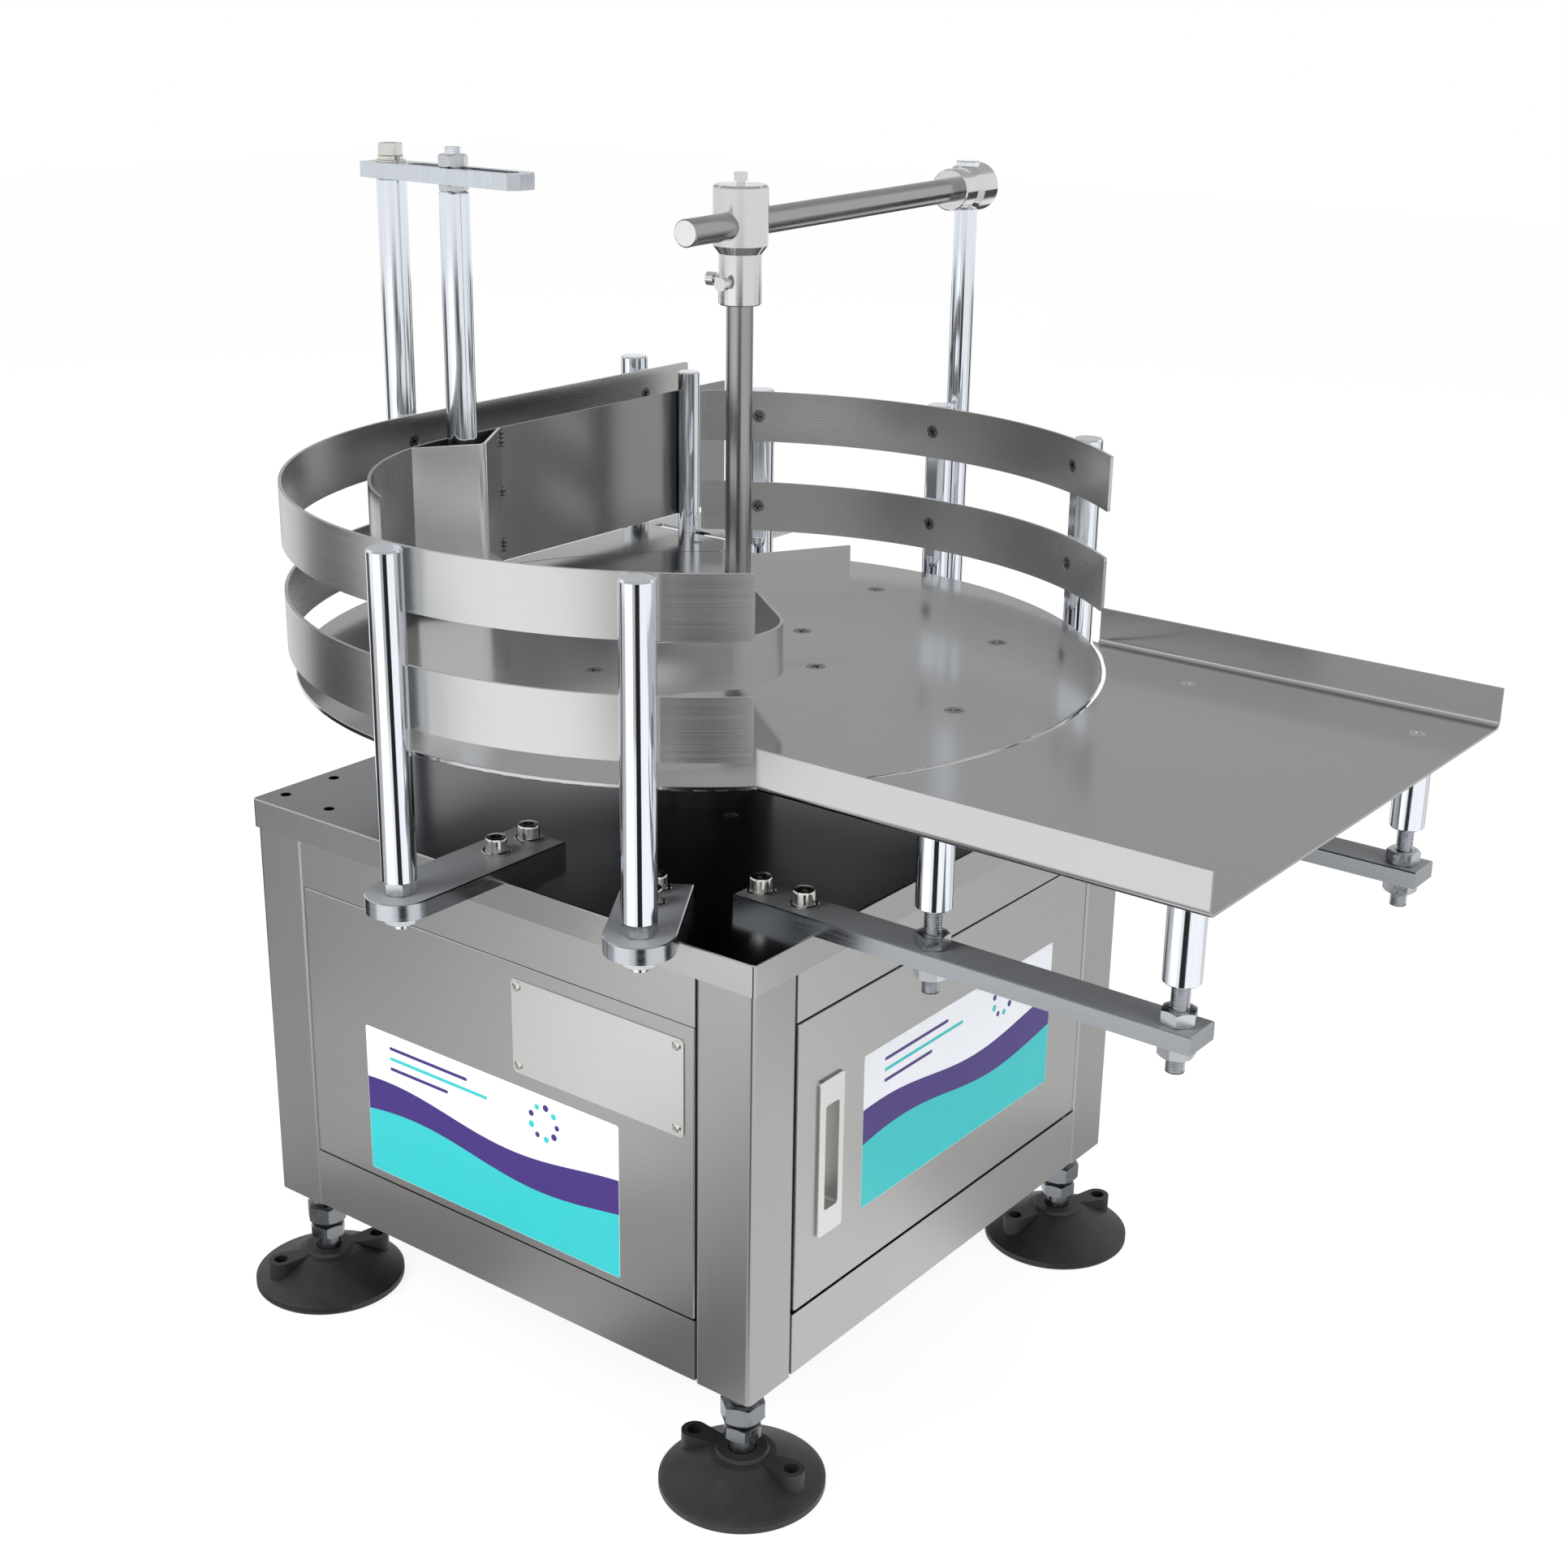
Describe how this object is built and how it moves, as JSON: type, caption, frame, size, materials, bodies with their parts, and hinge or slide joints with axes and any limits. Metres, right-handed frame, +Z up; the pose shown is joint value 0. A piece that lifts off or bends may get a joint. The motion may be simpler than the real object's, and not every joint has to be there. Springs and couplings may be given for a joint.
{
  "type": "rotary accumulation table",
  "caption": "Round turntable on a square stainless cabinet with guide rails, a swing-arm deflector, an exit lane, a take-off tray and levelling feet.",
  "frame": {"origin": "on the turntable axis, at the floor under the levelling pads", "axes": "+Z up along the turntable axis, +X towards the door and the take-off tray, -Y the front, +Y where the exit lane leaves"},
  "size_m": [0.7312, 0.598, 0.731],
  "materials": {
    "brushed_stainless": "brushed",
    "mirror_stainless": "polished",
    "polished_steel": "polished",
    "dark_steel": "ground",
    "zinc_steel": "bright",
    "satin_chrome": "satin",
    "blackened_steel": "satin",
    "black_plastic": "moulded",
    "grey_paint": "painted",
    "aluminium": "turned"
  },
  "bodies": {
    "cabinet": {"corner_posts": "brushed_stainless", "frame_rails": "brushed_stainless", "foot_plugs": "black_plastic", "lid": "mirror_stainless", "front_panel": "brushed_stainless", "left_panel": "brushed_stainless", "rear_panel": "brushed_stainless", "cable_gland": "black_plastic", "speed_controller": "black_plastic", "hinge_pins": "polished_steel", "bearing_housing": "blackened_steel", "bearings": "polished_steel", "gearmotor": "grey_paint", "motor_mount": "dark_steel", "post_brackets": "dark_steel", "lane_bracket": "dark_steel", "tray_bars": "dark_steel", "bracket_screws": "polished_steel", "guide_posts": "polished_steel", "tall_post": "polished_steel", "arm_post": "polished_steel", "hex_nuts": "polished_steel", "link_bolt": "polished_steel", "outer_guide": "brushed_stainless", "rear_guide": "brushed_stainless", "lane_plate": "mirror_stainless", "countersunk_screws": "polished_steel", "lane_standoffs": "polished_steel", "link_bar": "zinc_steel"},
    "turntable": {"disc": "mirror_stainless", "hub": "aluminium", "drive_shaft": "polished_steel", "shaft_coupling": "aluminium", "stiffening_ring": "dark_steel", "disc_screws": "polished_steel"},
    "door_leaf": {"door": "brushed_stainless", "door_handle": "zinc_steel"},
    "takeoff_tray": {"tray": "brushed_stainless", "tray_standoffs": "polished_steel", "tray_screws": "polished_steel"},
    "lane_carriage": {"lane_clamp_bolt": "polished_steel"},
    "inner_guide": {"lane_guide": "brushed_stainless", "guide_pocket": "brushed_stainless", "lane_guide_post": "polished_steel", "hanger_rod": "polished_steel", "hanger_nuts": "polished_steel"},
    "arm": {"rear_clamp": "satin_chrome", "cross_rod": "brushed_stainless"},
    "clamp": {"front_clamp": "satin_chrome", "clamp_screws": "polished_steel"},
    "deflector_blade": {"deflector_rod": "brushed_stainless", "deflector": "brushed_stainless"},
    "foot_1": {"foot_pad_1": "black_plastic", "foot_stem_1": "zinc_steel"},
    "foot_2": {"foot_pad_2": "black_plastic", "foot_stem_2": "zinc_steel"},
    "foot_3": {"foot_pad_3": "black_plastic", "foot_stem_3": "zinc_steel"},
    "foot_4": {"foot_pad_4": "black_plastic", "foot_stem_4": "zinc_steel"}
  },
  "joints": [
    {"name": "turntable_spin", "type": "hinge", "parent": "cabinet", "child": "turntable", "pos_m": [0, 0, 0.4345], "axis": [0, 0, 1], "continuous": true},
    {"name": "door_hinge", "type": "hinge", "parent": "cabinet", "child": "door_leaf", "pos_m": [0.1935, 0.151, 0.205], "axis": [0, 0, 1], "range_deg": [0, 110]},
    {"name": "tray_height", "type": "slide", "parent": "cabinet", "child": "takeoff_tray", "axis": [0, 0, 1], "range_m": [-0.01, 0.008]},
    {"name": "lane_exit_slide", "type": "slide", "parent": "cabinet", "child": "lane_carriage", "axis": [1, 0, 0], "range_m": [-0.012, 0.025]},
    {"name": "inner_guide_swing", "type": "hinge", "parent": "lane_carriage", "child": "inner_guide", "pos_m": [-0.2079, 0.238, 0.45], "axis": [0, 0, 1], "range_deg": [-2.5, 4]},
    {"name": "arm_swing", "type": "hinge", "parent": "cabinet", "child": "arm", "pos_m": [-0.00669, 0.29492, 0.7005], "axis": [0, 0, 1], "range_deg": [-12, 12]},
    {"name": "clamp_slide", "type": "slide", "parent": "arm", "child": "clamp", "axis": [0.1089, -0.9941, 0], "range_m": [-0.06, 0.04]},
    {"name": "deflector_height", "type": "slide", "parent": "clamp", "child": "deflector_blade", "axis": [0, 0, 1], "range_m": [-0.006, 0.014]},
    {"name": "foot_height_1", "type": "slide", "parent": "cabinet", "child": "foot_1", "axis": [0, 0, 1], "range_m": [-0.03, 0.012]},
    {"name": "foot_height_2", "type": "slide", "parent": "cabinet", "child": "foot_2", "axis": [0, 0, 1], "range_m": [-0.03, 0.012]},
    {"name": "foot_height_3", "type": "slide", "parent": "cabinet", "child": "foot_3", "axis": [0, 0, 1], "range_m": [-0.03, 0.012]},
    {"name": "foot_height_4", "type": "slide", "parent": "cabinet", "child": "foot_4", "axis": [0, 0, 1], "range_m": [-0.03, 0.012]}
  ]
}
